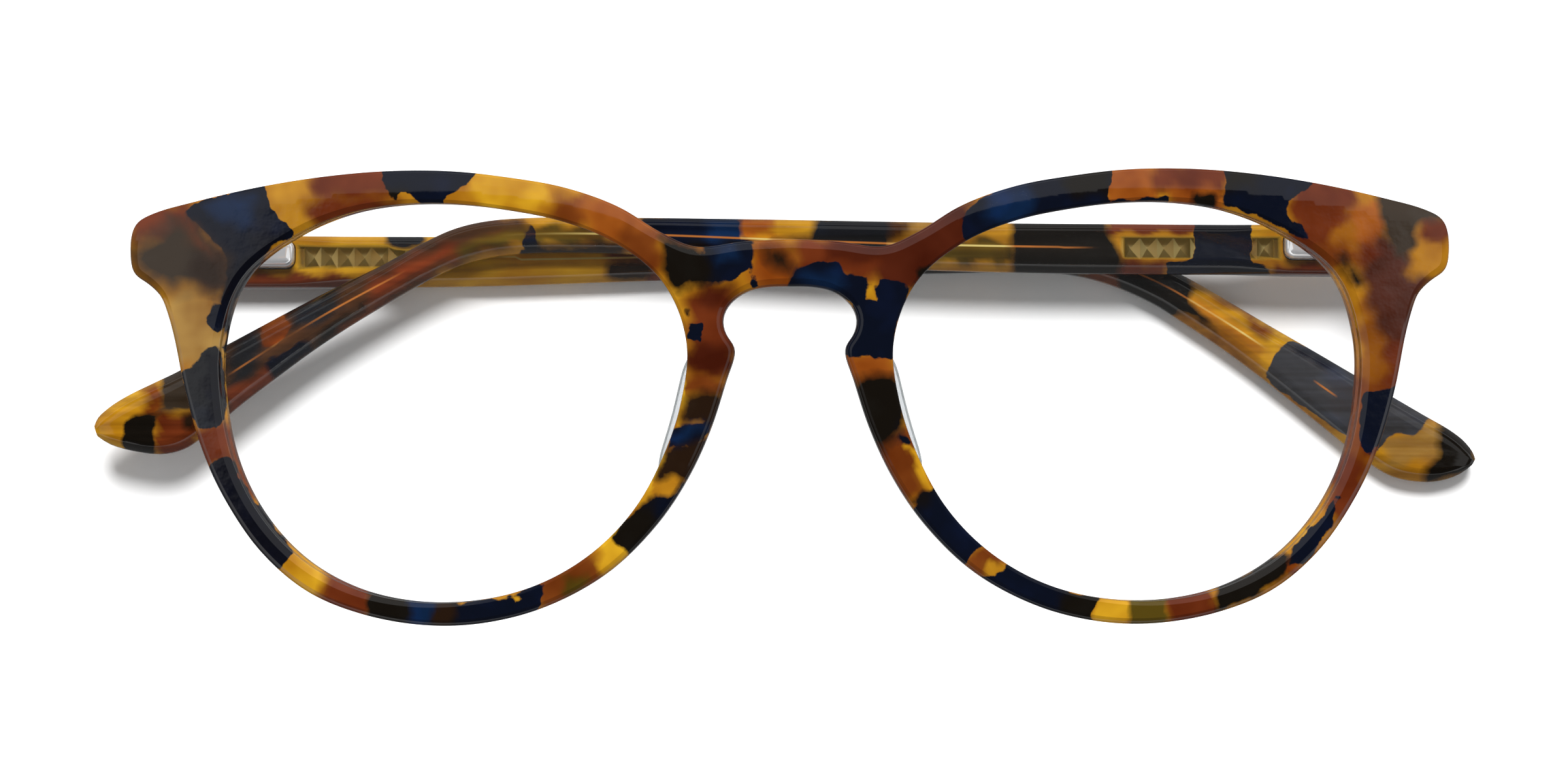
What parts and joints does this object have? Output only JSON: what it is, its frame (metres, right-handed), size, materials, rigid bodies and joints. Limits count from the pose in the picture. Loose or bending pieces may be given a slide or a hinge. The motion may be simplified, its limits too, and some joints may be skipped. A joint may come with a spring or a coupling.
{
  "type": "eyeglasses frame",
  "caption": "Folded full-rim acetate eyeglasses frame with keyhole bridge, clear nose pads, demo lenses, wire-core temples and sprung hinges.",
  "frame": {"origin": "centre of the outline, on the surface the folded glasses rest on", "axes": "+X along the folded right temple towards the wearer's left, +Y towards the brow, +Z out of the front, away from the temples"},
  "size_m": [0.1448, 0.0468, 0.0205],
  "materials": {
    "tortoiseshell_acetate": "polished, amber and dark brown tortoiseshell",
    "clear_acetate": "clear, polished",
    "demo_lens": "clear, polished",
    "polished_metal": "polished",
    "spring_steel": "satin",
    "nickel_silver_wire": "stamped pyramids on the front bar, drawn wire behind"
  },
  "bodies": {
    "front": {"front_frame": "tortoiseshell_acetate", "lens_left": "demo_lens", "lens_right": "demo_lens", "nose_pad_left": "clear_acetate", "nose_pad_right": "clear_acetate", "hinge_leaf_left": "polished_metal", "hinge_leaf_right": "polished_metal", "hinge_screw_left": "spring_steel", "hinge_screw_right": "spring_steel"},
    "slider_right": {"spring_slider_right": "spring_steel", "spring_stop_right": "spring_steel"},
    "arm_right": {"temple_right": "tortoiseshell_acetate", "core_wire_right": "nickel_silver_wire", "spring_housing_right": "polished_metal", "hinge_spring_right": "spring_steel"},
    "slider_left": {"spring_slider_left": "spring_steel", "spring_stop_left": "spring_steel"},
    "arm_left": {"temple_left": "tortoiseshell_acetate", "core_wire_left": "nickel_silver_wire", "spring_housing_left": "polished_metal", "hinge_spring_left": "spring_steel"}
  },
  "joints": [
    {"name": "right_temple_fold", "type": "hinge", "parent": "front", "child": "slider_right", "pos_m": [-0.06242, 0.01617, 0.00525], "axis": [0, 1, 0], "range_deg": [0, 90.8]},
    {"name": "right_spring_travel", "type": "slide", "parent": "slider_right", "child": "arm_right", "axis": [1, 0, 0], "range_m": [0, 0.0012], "stiffness_N_per_m": 1500, "springref_m": -0.002, "deforming": ["hinge_spring_right"]},
    {"name": "left_temple_fold", "type": "hinge", "parent": "front", "child": "slider_left", "pos_m": [0.06232, 0.01671, 0.00905], "axis": [0, -1, 0], "range_deg": [0, 94.2]},
    {"name": "left_spring_travel", "type": "slide", "parent": "slider_left", "child": "arm_left", "axis": [-1, 0, 0], "range_m": [0, 0.0012], "stiffness_N_per_m": 1500, "springref_m": -0.002, "deforming": ["hinge_spring_left"]}
  ]
}
